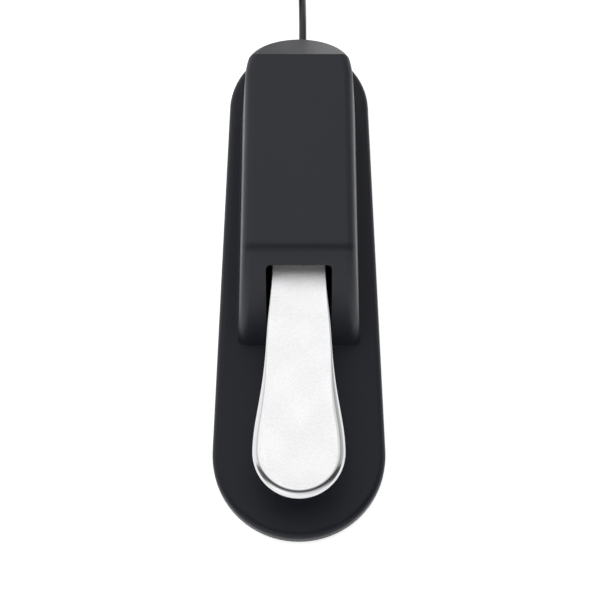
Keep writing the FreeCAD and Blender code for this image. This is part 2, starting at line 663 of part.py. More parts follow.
def coil_tie():
    """Strap wrapped once round the bundle."""
    low = COIL_Z - CORD_RADIUS
    high = COIL_Z + (COIL_LAYERS - 1) * LAYER_PITCH + CORD_RADIUS
    spread = (COIL_COLUMNS - 1) / 2 * TURN_PITCH + CORD_RADIUS
    near = COIL_MEAN - spread - 0.5         # the ring curves inwards across the strap's width
    far = COIL_MEAN + spread + 0.1
    band = box(near - TIE, far + TIE, -TIE_WIDTH / 2, TIE_WIDTH / 2, 0, high + TIE)
    band = band.cut(box(near, far, -TIE_WIDTH, TIE_WIDTH, low - 0.1, high + 0.1))
    band.rotate(Vector(0, 0, 0), Vector(0, 0, 1), TIE_ANGLE)
    band.translate(COIL_CENTRE)
    return band


def plug_boot():
    y0, y1 = PLUG_Y, PLUG_Y + BOOT_LENGTH
    step = BOOT_LENGTH / 5
    profile = []
    for ring in range(5):
        y = y0 + ring * step
        outer = 2.7 + 0.32 * ring
        profile += [(y, outer), (y + 0.6 * step, outer + 0.2), (y + 0.6 * step, outer - 0.4),
                    (y + step, outer - 0.3)]
    profile[-1] = (y1, outer - 0.3)
    return turned(profile, PLUG_START)


def plug_handle():
    """Moulded grip with shallow finger grooves."""
    y0 = PLUG_Y + BOOT_LENGTH
    y1 = y0 + HANDLE_LENGTH
    grip = turned([(y0, 4.4), (y0 + 1.4, PLUG_Z - 0.55), (y0 + 4, PLUG_Z - 0.05), (y1 - 3, PLUG_Z - 0.05),
                   (y1 - 1.2, PLUG_Z - 0.5), (y1, 4.6)], PLUG_START)
    flutes = []
    for k in range(12):
        angle = (k + 0.5) * math.pi / 6
        reach = PLUG_Z + 0.55
        x, z = PLUG_X + reach * math.cos(angle), PLUG_Z + reach * math.sin(angle)
        flutes.append(rod(1.1, Vector(x, y0 + 6, z), Vector(x, y1 - 6, z)))
    return grip.cut(flutes)


def plug_sleeve():
    y0 = PLUG_Y + BOOT_LENGTH + HANDLE_LENGTH
    return turned([(y0, SLEEVE_RADIUS), (y0 + SLEEVE_LENGTH, SLEEVE_RADIUS)], PLUG_START)


def plug_insulator():
    y0 = PLUG_Y + BOOT_LENGTH + HANDLE_LENGTH + SLEEVE_LENGTH
    return turned([(y0, RING_RADIUS), (y0 + RING_LENGTH, RING_RADIUS)], PLUG_START)


def plug_tip():
    """Contact tip: shoulder, waist and round nose."""
    y0 = PLUG_Y + BOOT_LENGTH + HANDLE_LENGTH + SLEEVE_LENGTH + RING_LENGTH
    profile = [(0.0, SLEEVE_RADIUS), (1.2, SLEEVE_RADIUS), (2.9, 2.3), (3.3, 2.3), (4.6, 2.95), (5.4, 3.0),
               (6.4, 2.6), (7.2, 1.9), (7.8, 1.0)]
    return turned([(y0 + y, radius) for y, radius in profile], PLUG_START)


def inner_leads():
    """Two cores to the slide switch and one link back to the board."""
    over = POLARITY_TOP + 2.8
    left, middle, right = [Vector(KNOB_SLOT[0] + step, POLARITY_Y, over) for step in (0.0, 4.5, 9.0)]
    cores = [
        [Vector(1.2, 103.6, 13.5), Vector(1.5, 101.6, 14.2), Vector(3.4, 99.9, 15.6),
         Vector(5.2, 99.9, 14.2), left],
        [Vector(2.6, 103.6, 13.6), Vector(4.2, 102.2, 15.2), Vector(8.2, 102.0, 17.6),
         Vector(13.0, 101.6, 15.4), right],
        [Vector(-6.2, 103.4, 9.9), Vector(-5.4, 102.4, 13.6), Vector(-1.6, 99.4, 17.2),
         Vector(4.4, 97.8, 18.2), Vector(8.8, 98.8, 15.0), middle],
    ]
    return Part.makeCompound([tube("inner lead", points, 0.6) for points in cores])


def clamp_saddle():
    block = box(CORD_X - 8.2, CORD_X + 8.2, CLAMP_Y, CLAMP_Y + 4.6, PLATE_Z, CORD_Z)
    screws = [rod(1.25, Vector(x, CLAMP_Y + 2.3, 5), Vector(x, CLAMP_Y + 2.3, 30)) for x in CLAMP_SCREWS]
    groove = rod(CORD_RADIUS, Vector(CORD_X, 100, CORD_Z), Vector(CORD_X, 120, CORD_Z))
    return block.cut(screws + [groove])


def clamp_bar():
    bar = box(CORD_X - 8.2, CORD_X + 8.2, CLAMP_Y, CLAMP_Y + 4.6, CORD_Z + 0.1, CORD_Z + 3.1)
    bar = rounded(bar, 0.8, lambda edge: edge.BoundBox.ZMin > CORD_Z + 3 and edge.BoundBox.XLength < 0.01)
    screws = [rod(1.3, Vector(x, CLAMP_Y + 2.3, 5), Vector(x, CLAMP_Y + 2.3, 30)) for x in CLAMP_SCREWS]
    groove = rod(CORD_RADIUS, Vector(CORD_X, 100, CORD_Z), Vector(CORD_X, 120, CORD_Z))
    return bar.cut(screws + [groove])


def clamp_screws():
    top = CORD_Z + 3.1
    screws = []
    for x in CLAMP_SCREWS:
        head = rod(2.2, Vector(x, CLAMP_Y + 2.3, top), Vector(x, CLAMP_Y + 2.3, top + 1.5))
        shank = rod(1.22, Vector(x, CLAMP_Y + 2.3, 5.4), Vector(x, CLAMP_Y + 2.3, top + 0.5))
        screws.append(head.fuse(shank))
    return Part.makeCompound(screws)


def main():
    os.makedirs("parts", exist_ok=True)
    pieces = [
        top_shell, base_plate, base_screws, rubber_mat, pivot_bracket, bracket_screws, bracket_nuts,
        pivot_axle, axle_clips, lever, carrier, carrier_screws, pivot_bushes, spring_cup, return_spring,
        spring_guide, rest_pad, down_pad, circuit_board, board_posts, board_screws, switch_body,
        switch_plunger, switch_pins, polarity_body, polarity_knob, polarity_pins, strain_relief, cord_stub,
        cord_coil, coil_tie, plug_boot, plug_handle, plug_sleeve, plug_insulator, plug_tip, inner_leads,
        clamp_saddle, clamp_bar, clamp_screws,
    ]
    for piece in pieces:
        save(piece.__name__, piece())
    save("cord_tube", tube("cord_tube", LEAD_ROUTE, CORD_RADIUS))
    save("cord_tail", tube("cord_tail", TAIL_ROUTE, CORD_RADIUS))


main()
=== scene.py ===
"""Sustain pedal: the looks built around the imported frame.

Row frame: +X right, -Y the toe, +Y the back where the lead leaves, +Z up. The points and sizes of the
lead's route, the tie, the inner leads, the lever and the spring are millimetres; the rest are metres.
"""
import json
import math

import bmesh
import bpy
import numpy as np
from mathutils import Matrix, Vector


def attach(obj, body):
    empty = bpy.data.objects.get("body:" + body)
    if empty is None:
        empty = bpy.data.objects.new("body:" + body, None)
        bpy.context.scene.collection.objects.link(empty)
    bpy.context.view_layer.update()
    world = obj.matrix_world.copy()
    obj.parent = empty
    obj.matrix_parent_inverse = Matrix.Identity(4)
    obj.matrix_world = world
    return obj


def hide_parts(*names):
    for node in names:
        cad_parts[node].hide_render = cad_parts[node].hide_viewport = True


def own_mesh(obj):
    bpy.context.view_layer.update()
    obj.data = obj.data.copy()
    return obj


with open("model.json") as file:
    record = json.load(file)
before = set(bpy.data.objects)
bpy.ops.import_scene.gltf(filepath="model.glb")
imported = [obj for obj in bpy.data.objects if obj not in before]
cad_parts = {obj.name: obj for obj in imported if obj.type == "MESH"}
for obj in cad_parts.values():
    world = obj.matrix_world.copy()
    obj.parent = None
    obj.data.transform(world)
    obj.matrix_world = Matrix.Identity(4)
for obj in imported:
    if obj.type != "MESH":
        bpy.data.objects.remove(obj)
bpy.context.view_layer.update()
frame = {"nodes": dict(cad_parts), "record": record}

MM = 0.001

# ---- camera --------------------------------------------------------------------------------------
CAMERA_AIM = Vector((0.0005, -0.0073, 0.0))
CAMERA_DISTANCE = 0.9
CAMERA_ELEVATION = math.radians(70)
CAMERA_LENS = 109.9

# ---- light: the studio's brightness by direction, as a unit vector -------------------------------
LIGHT_LEAN = 0.35               # the overhead light leans towards the back
OVERHEAD_EDGE = (0.78, 0.98)    # from the walls to the full overhead light, along its axis
OVERHEAD_LIGHT = 1.17
WALL_LIGHT = 0.6                # brightness of the walls beside it
HORIZON_LIGHT = 0.9             # brightness low down, where the white floor runs on
HORIZON_EDGE = (0.35, 0.75)     # heights between which that fades into the walls
GAP_LIGHT = 0.15                # share left in the unlit gap between the overhead light and the front wall
GAP_EDGE = (-0.22, -0.04)       # how far forward the gap sets in
FRONT_LIGHT = 1.3               # share on the front wall
FRONT_EDGE = (-0.8, -0.45)      # how far forward the front wall sets in
SIDE_LIGHT = (1.5, 0.8)         # from the left to the right
FLOOR_GLOW = 0.62
FLOOR_HALF = 6.0
FLOOR_GAP = 0.1 * MM            # the floor's depth below the sole

# ---- lead, as the part's source lays it out ------------------------------------------------------
CORD_DIAMETER = 3.8 * MM
LEAD_ROUTE = [
    (1.9, 127.4, 13.5),
    (1.9, 136.4, 13.5),
    (1.8, 147.4, 10.2),
    (1.6, 159.4, 5.6),
    (1.4, 171.4, 3.1),
    (1.3, 184.6, 2.7),
]
TAIL_ROUTE = [
    (1.1, 209.0, 13.9),
    (0.4, 221.0, 11.2),
    (-0.6, 233.0, 7.5),
    (-1.2, 245.0, 5.8),
    (-1.2, 256.0, 5.8),
]
COIL_CENTRE = (-24.7, 197.0)
COIL_RADII = [26, 22, 18, 18, 22, 26, 26, 22, 18, 18, 22, 26]
COIL_TURNS_A_LAYER = 3
COIL_FLOOR = 2.7
LAYER_PITCH = 3.95
TURN_POINTS = 16
TIE_ANGLE = math.radians(150)
COIL_SLACK = 0.5                # how far the turns bulge between the tie and the side opposite
COIL_SHIFT = (0.7, 0.98)        # part of a turn in which it moves over to the next
STRAP_NEAR, STRAP_FAR = 15.6, 28.0          # inside of the tie's strap, from the coil's centre
STRAP_LOW, STRAP_HIGH = 0.7, 16.5
STRAP_CORNER = 1.6
STRAP = 0.7                     # thickness
STRAP_HALF = 3.5
STRAP_LAP = 0.75                # the strap's loose end lies this far out, over its own start
STRAP_START = [12.0, 9.0, 6.0]              # heights on the bundle's outside
STRAP_END = [12.0, 9.0, 6.5, 5.7, 5.1, 4.8]
STRAP_TIP = [0.95, 0.8, 0.5]                # widths that round off its end
CORNER_STEPS = 6
INNER_RADIUS = 0.6              # of the wires inside the housing
INNER_ROUTES = [
    [(1.2, 103.6, 13.5), (1.5, 101.6, 14.2), (3.4, 99.9, 15.6), (5.2, 99.9, 14.2), (5.5, 101.0, 11.3)],
    [(2.6, 103.6, 13.6), (4.2, 102.2, 15.2), (8.2, 102.0, 17.6), (13.0, 101.6, 15.4), (14.5, 101.0, 11.3)],
    [(-6.2, 103.4, 9.9), (-5.4, 102.4, 13.6), (-1.6, 99.4, 17.2), (4.4, 97.8, 18.2), (8.8, 98.8, 15.0),
     (10.0, 101.0, 11.3)],
]

# ---- shell ---------------------------------------------------------------------------------------
FLANGE_FINISH_Z = 0.0095        # the flange's lower specular level, which makes it darker, ends in the corner round the housing

# ---- lever, about the hinge axis -----------------------------------------------------------------
PIVOT = Vector((0.0, 0.062, 0.038))         # the hinge axis, in metres
LEVER_TILT = math.radians(3.77)
LEVER_TOP = 11.7
LEVER_LOW = 3.7
LEVER_REACH = 177.6
LEVER_BACK = 18.0
BULB_RADIUS = 21.4
NECK = [                        # (along the lever, half width)
    (-140.0, 19.8),
    (-125.3, 17.3),
    (-109.7, 15.5),
    (-95.0, 14.5),
    (-82.0, 13.4),
    (-66.0, 12.9),
    (-40.0, 12.4),
]
LIP = 3.6                       # rolled edge round the toe
NECK_EDGE = 0.7                 # small edge round in the neck
LIP_FROM, LIP_TO = -141.0, -103.0           # where the one fades into the other
LIP_STEPS = 10
SKIN = 3.8                      # metal left above the hollow
RIM_WALL = 3.0
HOLLOW_END = -60.0
RIB_HALF = 1.0
CROSS_RIBS = [-150, -120, -90]
RELIEF_FRONT = -58.0            # from here back the lever is thin, and sits on the carrier
CARRIER_TOP = 7.2
BLOCK_HALF = 30.0               # half width of the cutting blocks, wider than the lever
SIDE_POINTS, BACK_POINTS, TOE_POINTS = 76, 12, 96
FLAT = 0.9999                   # a face whose normal's z is above this is level

# ---- return spring -------------------------------------------------------------------------------
SPRING_Y = 23.5
SPRING_LOW, SPRING_HIGH = 5.0, 38.3
SPRING_RADIUS = 7.0
WIRE_RADIUS = 0.9
SPRING_TURNS = 9.5
SPRING_CLOSED = 1.0             # turns at each end that lie close together
SPRING_STEPS = 36               # points a turn
WIRE_SIDES = 14


def smooth(x):
    """Smooth step from 0 to 1."""
    x = min(1.0, max(0.0, x))
    return x * x * (3 - 2 * x)


def new_object(name, data, body):
    piece = bpy.data.objects.new(name, data)
    bpy.context.scene.collection.objects.link(piece)
    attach(piece, body)
    return piece


# ---- camera, floor and light ---------------------------------------------------------------------

def make_camera():
    lens = bpy.data.cameras.new("camera")
    lens.lens = CAMERA_LENS
    lens.clip_start = 0.01
    camera = bpy.data.objects.new("camera", lens)
    offset = Vector((0, -math.cos(CAMERA_ELEVATION), math.sin(CAMERA_ELEVATION)))
    camera.location = CAMERA_AIM + offset * CAMERA_DISTANCE
    camera.rotation_euler = (math.pi / 2 - CAMERA_ELEVATION, 0, 0)
    bpy.context.scene.collection.objects.link(camera)
    bpy.context.scene.camera = camera


def make_floor():
    """White floor just under the sole, clear from below so that the underside can be seen."""
    half, level = FLOOR_HALF, -FLOOR_GAP
    mesh = bpy.data.meshes.new("floor")
    corners = [(-half, -half, level), (half, -half, level), (half, half, level), (-half, half, level)]
    mesh.from_pydata(corners, [], [(0, 1, 2, 3)])
    floor = bpy.data.objects.new("floor", mesh)
    bpy.context.scene.collection.objects.link(floor)
    material = bpy.data.materials.new("floor")
    material.use_nodes = True
    shader = material.node_tree.nodes["Principled BSDF"]
    shader.inputs["Base Color"].default_value = (0.92, 0.92, 0.92, 1)
    shader.inputs["Roughness"].default_value = 0.9
    shader.inputs["Specular IOR Level"].default_value = 0.1
    shader.inputs["Emission Color"].default_value = (1, 1, 1, 1)
    shader.inputs["Emission Strength"].default_value = FLOOR_GLOW
    from_below = add_node(material, "ShaderNodeNewGeometry").outputs["Backfacing"]
    clear = add_node(material, "ShaderNodeBsdfTransparent")
    mix = add_node(material, "ShaderNodeMixShader")
    link(material, from_below, mix.inputs[0])
    link(material, shader.outputs["BSDF"], mix.inputs[1])
    link(material, clear.outputs["BSDF"], mix.inputs[2])
    link(material, mix.outputs["Shader"], material.node_tree.nodes["Material Output"].inputs["Surface"])
    mesh.materials.append(material)


def add_node(material, kind, **settings):
    """New node, with each setting put on the input or the property of that name."""
    node = material.node_tree.nodes.new(kind)
    for key, value in settings.items():
        if key in node.inputs:
            node.inputs[key].default_value = value
        else:
            setattr(node, key, value)
    return node


def link(material, output, target):
    material.node_tree.links.new(output, target)


def spread(material, value, from_range, to_range):
    """Smooth change from one range to another."""
    node = add_node(material, "ShaderNodeMapRange", interpolation_type="SMOOTHSTEP")
    for socket, number in zip(("From Min", "From Max", "To Min", "To Max"), (*from_range, *to_range)):
        node.inputs[socket].default_value = number
    link(material, value, node.inputs["Value"])
    return node.outputs["Result"]


def combine(material, operation, first, second):
    """One of Blender's maths operations on two values."""
    node = add_node(material, "ShaderNodeMath", operation=operation)
    link(material, first, node.inputs[0])
    link(material, second, node.inputs[1])
    return node.outputs["Value"]


def make_light():
    """White studio: broad light overhead, dimmer walls, an unlit gap in front, more from the left."""
    world = bpy.data.worlds.new("studio")
    world.use_nodes = True
    direction = add_node(world, "ShaderNodeTexCoord").outputs["Generated"]
    lean = add_node(world, "ShaderNodeVectorMath", operation="DOT_PRODUCT")
    lean.inputs[1].default_value = (0, LIGHT_LEAN, 1)
    link(world, direction, lean.inputs[0])
    axes = add_node(world, "ShaderNodeSeparateXYZ")
    link(world, direction, axes.inputs["Vector"])
    overhead = spread(world, lean.outputs["Value"], OVERHEAD_EDGE, (WALL_LIGHT, OVERHEAD_LIGHT))
    horizon = spread(world, axes.outputs["Z"], HORIZON_EDGE, (HORIZON_LIGHT - WALL_LIGHT, 0.0))
    side = spread(world, axes.outputs["X"], (-1.0, 1.0), SIDE_LIGHT)
    gap = spread(world, axes.outputs["Y"], GAP_EDGE, (GAP_LIGHT, 1.0))
    front = spread(world, axes.outputs["Y"], FRONT_EDGE, (FRONT_LIGHT - GAP_LIGHT, 0.0))
    room = combine(world, "ADD", overhead, horizon)
    shape = combine(world, "MULTIPLY", side, combine(world, "ADD", gap, front))
    background = world.node_tree.nodes["Background"]
    background.inputs["Color"].default_value = (1, 1, 1, 1)
    link(world, combine(world, "MULTIPLY", room, shape), background.inputs["Strength"])
    bpy.context.scene.world = world
    bpy.context.scene.view_settings.view_transform = "Standard"


# ---- material helpers ----------------------------------------------------------------------------

def new_material(name, colour, roughness, metallic=0.0, specular=0.5):
    material = bpy.data.materials.new(name)
    material.use_nodes = True
    shader = material.node_tree.nodes["Principled BSDF"]
    shader.inputs["Base Color"].default_value = (*colour, 1)
    shader.inputs["Roughness"].default_value = roughness
    shader.inputs["Metallic"].default_value = metallic
    shader.inputs["Specular IOR Level"].default_value = specular
    return material


def shader_of(material):
    return material.node_tree.nodes["Principled BSDF"]


def noise(material, size, detail=3.0, stretch=(1, 1, 1)):
    """Noise whose grain is about this size, drawn out along the axes where stretch is above 1."""
    place = add_node(material, "ShaderNodeTexCoord")
    mapping = add_node(material, "ShaderNodeMapping", Scale=[1 / s for s in stretch])
    texture = add_node(material, "ShaderNodeTexNoise", Scale=1 / size, Detail=detail)
    link(material, place.outputs["Object"], mapping.inputs["Vector"])
    link(material, mapping.outputs["Vector"], texture.inputs["Vector"])
    return texture.outputs["Fac"]


def vary_colour(material, factor, dark, light, low=0.35, high=0.65):
    ramp = add_node(material, "ShaderNodeValToRGB")
    ramp.color_ramp.elements[0].position = low
    ramp.color_ramp.elements[0].color = (*dark, 1)
    ramp.color_ramp.elements[1].position = high
    ramp.color_ramp.elements[1].color = (*light, 1)
    link(material, factor, ramp.inputs["Fac"])
    link(material, ramp.outputs["Color"], shader_of(material).inputs["Base Color"])


def vary_roughness(material, factor, low, high):
    link(material, spread(material, factor, (0.3, 0.7), (low, high)), shader_of(material).inputs["Roughness"])


def bump(material, height, depth):
    relief = add_node(material, "ShaderNodeBump", Strength=1.0, Distance=depth)
    link(material, height, relief.inputs["Height"])
    link(material, relief.outputs["Normal"], shader_of(material).inputs["Normal"])


def tinted(colour, amount):
    """Lighter by this share, or darker where it is negative."""
    return tuple(min(1.0, channel * (1 + amount)) for channel in colour)


def moulded(name, colour, roughness, grain, depth, tone=0.15, metallic=0.0, specular=0.5):
    """Plain finish: patchy tone and gloss, and a fine grain."""
    material = new_material(name, colour, roughness, metallic, specular)
    patches = noise(material, 0.012, 4.0)
    vary_colour(material, patches, tinted(colour, -tone), tinted(colour, tone))
    vary_roughness(material, patches, roughness * 0.88, roughness * 1.12)
    bump(material, noise(material, grain, 2.0), depth)
    return material


# ---- materials -----------------------------------------------------------------------------------

def shell_plastic(name, specular):
    """Satin black moulding with a spark-eroded grain and faint handling marks."""
    material = new_material(name, (0.010, 0.0115, 0.017), 0.42, specular=specular)
    marks = noise(material, 0.03, 5.0)
    vary_colour(material, marks, (0.0090, 0.0104, 0.0160), (0.0108, 0.0122, 0.0182))
    vary_roughness(material, marks, 0.39, 0.45)
    bump(material, noise(material, 0.00045, 2.0), 0.00003)
    return material


def satin_plate():
    """Bead-blasted plate: fine sparkle and a soft cloudiness in its gloss."""
    material = new_material("satin_plate", (0.95, 0.95, 0.965), 0.46, metallic=0.7)
    vary_colour(material, noise(material, 0.0009, 2.0), (0.93, 0.93, 0.95), (0.995, 0.995, 0.995))
    vary_roughness(material, noise(material, 0.012, 4.0), 0.42, 0.51)
    bump(material, noise(material, 0.0007, 2.0), 0.0001)
    return material


def polished_plate():
    """Chrome with hairline wear."""
    material = new_material("polished_plate", (0.6, 0.6, 0.61), 0.1, metallic=1.0)
    wear = noise(material, 0.004, 4.0)
    vary_roughness(material, wear, 0.07, 0.14)
    bump(material, noise(material, 0.0004, 1.0, stretch=(1, 14, 1)), 0.000002)
    return material


def brushed(name, colour, roughness, stretch):
    """Drawn or rolled metal, with lines along the stretched axis and a mottled plate."""
    material = new_material(name, colour, roughness, metallic=1.0)
    mottle = noise(material, 0.005, 3.0)
    vary_colour(material, mottle, tinted(colour, -0.14), tinted(colour, 0.1))
    lines = noise(material, 0.0003, 2.0, stretch)
    vary_roughness(material, lines, roughness * 0.75, roughness * 1.3)
    bump(material, lines, 0.000012)
    return material


def powder_coat():
    material = new_material("plate_steel", (0.02, 0.02, 0.022), 0.5)
    patches = noise(material, 0.02, 4.0)
    vary_colour(material, patches, (0.017, 0.017, 0.019), (0.026, 0.026, 0.028))
    bump(material, noise(material, 0.0011, 1.0), 0.00012)
    return material


def sole_rubber():
    """Matt rubber with dust in its grain."""
    material = new_material("sole_rubber", (0.02, 0.02, 0.021), 0.8, specular=0.3)
    dust = noise(material, 0.02, 6.0)
    vary_colour(material, dust, (0.016, 0.016, 0.017), (0.04, 0.039, 0.037), 0.45, 0.8)
    bump(material, noise(material, 0.0005, 4.0), 0.00008)
    return material


def board_laminate():
    """Green solder mask over copper tracks."""
    material = new_material("board_laminate", (0.01, 0.1, 0.035), 0.3)
    place = add_node(material, "ShaderNodeTexCoord")
    tracks = add_node(material, "ShaderNodeTexBrick", Scale=220.0)
    tracks.inputs["Color1"].default_value = (0.008, 0.085, 0.03, 1)
    tracks.inputs["Color2"].default_value = (0.011, 0.11, 0.038, 1)
    tracks.inputs["Mortar"].default_value = (0.03, 0.2, 0.06, 1)
    tracks.inputs["Mortar Size"].default_value = 0.035
    link(material, place.outputs["Object"], tracks.inputs["Vector"])
    link(material, tracks.outputs["Color"], shader_of(material).inputs["Base Color"])
    bump(material, tracks.outputs["Fac"], 0.00004)
    return material


def tie_fabric():
    """Woven strap: crossed threads about half a millimetre apart."""
    material = new_material("tie_fabric", (0.012, 0.012, 0.013), 0.85, specular=0.2)
    place = add_node(material, "ShaderNodeTexCoord")
    threads = []
    for direction in ("X", "Z"):
        wave = add_node(material, "ShaderNodeTexWave", Scale=320.0, bands_direction=direction)
        link(material, place.outputs["Object"], wave.inputs["Vector"])
        threads.append(wave.outputs["Fac"])
    cross = combine(material, "MULTIPLY", *threads)
    vary_colour(material, cross, (0.008, 0.008, 0.009), (0.03, 0.03, 0.032), 0.1, 0.9)
    bump(material, cross, 0.0001)
    return material


def make_materials():
    black = (0.012, 0.012, 0.013)
    return {
        "shell_plastic": shell_plastic("shell_plastic", 0.31),
        "plated_lever": satin_plate(),
        "plate_steel": powder_coat(),
        "sole_rubber": sole_rubber(),
        "dark_fasteners": moulded("dark_fasteners", (0.03, 0.03, 0.034), 0.38, 0.0004, 0.00001, metallic=1.0),
        "zinc_fasteners": brushed("zinc_fasteners", (0.6, 0.62, 0.65), 0.28, (1, 1, 6)),
        "bracket_steel": brushed("bracket_steel", (0.55, 0.56, 0.57), 0.34, (1, 20, 1)),
        "axle_steel": brushed("axle_steel", (0.62, 0.62, 0.63), 0.18, (1, 6, 6)),
        "spring_steel": brushed("spring_steel", (0.3, 0.3, 0.31), 0.3, (5, 5, 1)),
        "white_nylon": moulded("white_nylon", (0.72, 0.7, 0.62), 0.42, 0.0005, 0.00002, 0.05),
        "stop_rubber": moulded("stop_rubber", (0.02, 0.02, 0.02), 0.75, 0.0005, 0.00005),
        "board_laminate": board_laminate(),
        "brass_parts": brushed("brass_parts", (0.75, 0.52, 0.2), 0.25, (1, 1, 8)),
        "switch_plastic": moulded("switch_plastic", black, 0.3, 0.0003, 0.00001),
        "button_plastic": moulded("button_plastic", (0.5, 0.48, 0.42), 0.35, 0.0003, 0.00001, 0.06),
        "wire_insulation": moulded("wire_insulation", (0.4, 0.02, 0.015), 0.35, 0.0004, 0.00001),
        "cord_jacket": moulded("cord_jacket", (0.01, 0.01, 0.011), 0.24, 0.0006, 0.00002, specular=0.4),
        "boot_rubber": moulded("boot_rubber", (0.013, 0.013, 0.014), 0.6, 0.0004, 0.00004),
        "tie_fabric": tie_fabric(),
        "plug_plastic": moulded("plug_plastic", black, 0.34, 0.0004, 0.00002),
        "plug_metal": brushed("plug_metal", (0.72, 0.7, 0.66), 0.16, (8, 1, 8)),
        "insulator_plastic": moulded("insulator_plastic", black, 0.35, 0.0003, 0.00001),
        "polished_plate": polished_plate(),
    }


# ---- cords ---------------------------------------------------------------------------------------

def nurbs_line(name, points, radius):
    """Round cord along one smooth open spline; points are millimetres."""
    curve = bpy.data.curves.new(name, "CURVE")
    curve.dimensions = "3D"
    spline = curve.splines.new("NURBS")
    spline.points.add(len(points) - 1)
    for control, point in zip(spline.points, points):
        control.co = (*(Vector(point) * MM), 1)
    spline.order_u = 3
    spline.use_endpoint_u = True
    curve.resolution_u = 8
    curve.bevel_depth = radius
    curve.bevel_resolution = 6
    curve.use_fill_caps = True
    return curve


def coil_points():
    """Turns of the stowed lead: out and in by one turn's width, then up a layer, on the tie's far side."""
    points = []
    last = len(COIL_RADII) - 1
    for turn, radius in enumerate(COIL_RADII):
        following = COIL_RADII[min(turn + 1, last)]
        layer = turn // COIL_TURNS_A_LAYER
        next_layer = min(turn + 1, last) // COIL_TURNS_A_LAYER
        for step in range(TURN_POINTS):
            share = step / TURN_POINTS
            angle = 2 * math.pi * share
            shift = smooth((share - COIL_SHIFT[0]) / (COIL_SHIFT[1] - COIL_SHIFT[0]))
            reach = radius + (following - radius) * shift
            reach += COIL_SLACK * math.sin(angle - TIE_ANGLE) ** 2
            reach /= math.cos(math.pi / TURN_POINTS)
            z = COIL_FLOOR + LAYER_PITCH * (layer + (next_layer - layer) * shift)
            across, along = reach * math.cos(angle), reach * math.sin(angle)
            points.append((COIL_CENTRE[0] + across, COIL_CENTRE[1] + along, z))
    return points


def make_lead(materials):
    curve = nurbs_line("lead", LEAD_ROUTE + coil_points() + TAIL_ROUTE, CORD_DIAMETER / 2)
    curve.materials.append(materials["cord_jacket"])
    lead = new_object("lead", curve, "base")
    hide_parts("cord_tube", "cord_coil", "cord_tail")
    return lead


def strap_path():
    """Way round the bundle as (out, up, normal out, normal up).

    It runs down the outside, under the bundle, up the inside, over the top and down the outside again.
    """
    ends = [
        (STRAP_FAR - STRAP_CORNER, STRAP_LOW + STRAP_CORNER, 0),
        (STRAP_NEAR + STRAP_CORNER, STRAP_LOW + STRAP_CORNER, -90),
        (STRAP_NEAR + STRAP_CORNER, STRAP_HIGH - STRAP_CORNER, -180),
        (STRAP_FAR - STRAP_CORNER, STRAP_HIGH - STRAP_CORNER, -270),
    ]
    path = [(STRAP_FAR, z, 1.0, 0.0) for z in STRAP_START]
    for out, up, start in ends:
        for step in range(CORNER_STEPS + 1):
            angle = math.radians(start - 90 * step / CORNER_STEPS)
            across, rise = math.cos(angle), math.sin(angle)
            path.append((out + STRAP_CORNER * across, up + STRAP_CORNER * rise, across, rise))
    return path + [(STRAP_FAR, z, 1.0, 0.0) for z in STRAP_END]


def make_tie(materials):
    """Woven strap with thicker edges, lapped over its own start, with a rounded loose end."""
    section = [
        (-1.0, 0.2), (-0.95, 0.0), (0.95, 0.0), (1.0, 0.2), (1.0, 0.5), (0.95, STRAP),
        (0.82, STRAP - 0.02), (0.76, STRAP - 0.1), (-0.76, STRAP - 0.1), (-0.82, STRAP - 0.02),
        (-0.95, STRAP), (-1.0, 0.5),
    ]
    path = strap_path()
    widths = [1.0] * (len(path) - len(STRAP_TIP)) + STRAP_TIP
    top = len(path) - len(STRAP_END) - CORNER_STEPS - 2     # last point before the strap crosses the top
    turn, spin = math.cos(TIE_ANGLE), math.sin(TIE_ANGLE)
    rings = []
    for k, (out, up, normal_out, normal_up) in enumerate(path):
        lap = STRAP_LAP * smooth((k - top) / (CORNER_STEPS + 1))
        ring = []
        for across, height in section:
            reach = out + normal_out * (height + lap)
            side = across * STRAP_HALF * widths[k]
            x = COIL_CENTRE[0] + reach * turn - side * spin
            y = COIL_CENTRE[1] + reach * spin + side * turn
            ring.append((x, y, up + normal_up * (height + lap)))
        rings.append(ring)
    mesh = solid_from_rings("tie_strap", rings)
    mesh.transform(Matrix.Scale(MM, 4))
    mesh.materials.append(materials["tie_fabric"])
    for face in mesh.polygons:
        face.use_smooth = True
    mesh.set_sharp_from_angle(angle=math.radians(40))
    strap = new_object("tie_strap", mesh, "base")
    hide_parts("coil_tie")


def make_inner_leads(materials):
    for number, route in enumerate(INNER_ROUTES):
        name = f"inner_lead_{number + 1}"
        curve = nurbs_line(name, route, INNER_RADIUS * MM)
        curve.materials.append(materials["wire_insulation"])
        wire = new_object(name, curve, "base")
        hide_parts("inner_leads")


# ---- shell ---------------------------------------------------------------------------------------

def make_shell(materials):
    """The moulding again, with a lower specular level on its flange than on the housing, so the flange looks
    darker.
    """
    mesh = frame["nodes"]["top_shell"].data.copy()
    mesh.materials.clear()
    mesh.materials.append(materials["shell_plastic"])
    mesh.materials.append(shell_plastic("flange_plastic", 0.2))
    for face in mesh.polygons:
        face.material_index = 1 if face.center.z < FLANGE_FINISH_Z else 0
    shell = new_object("shell_moulding", mesh, "base")
    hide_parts("top_shell")


# ---- lever ---------------------------------------------------------------------------------------

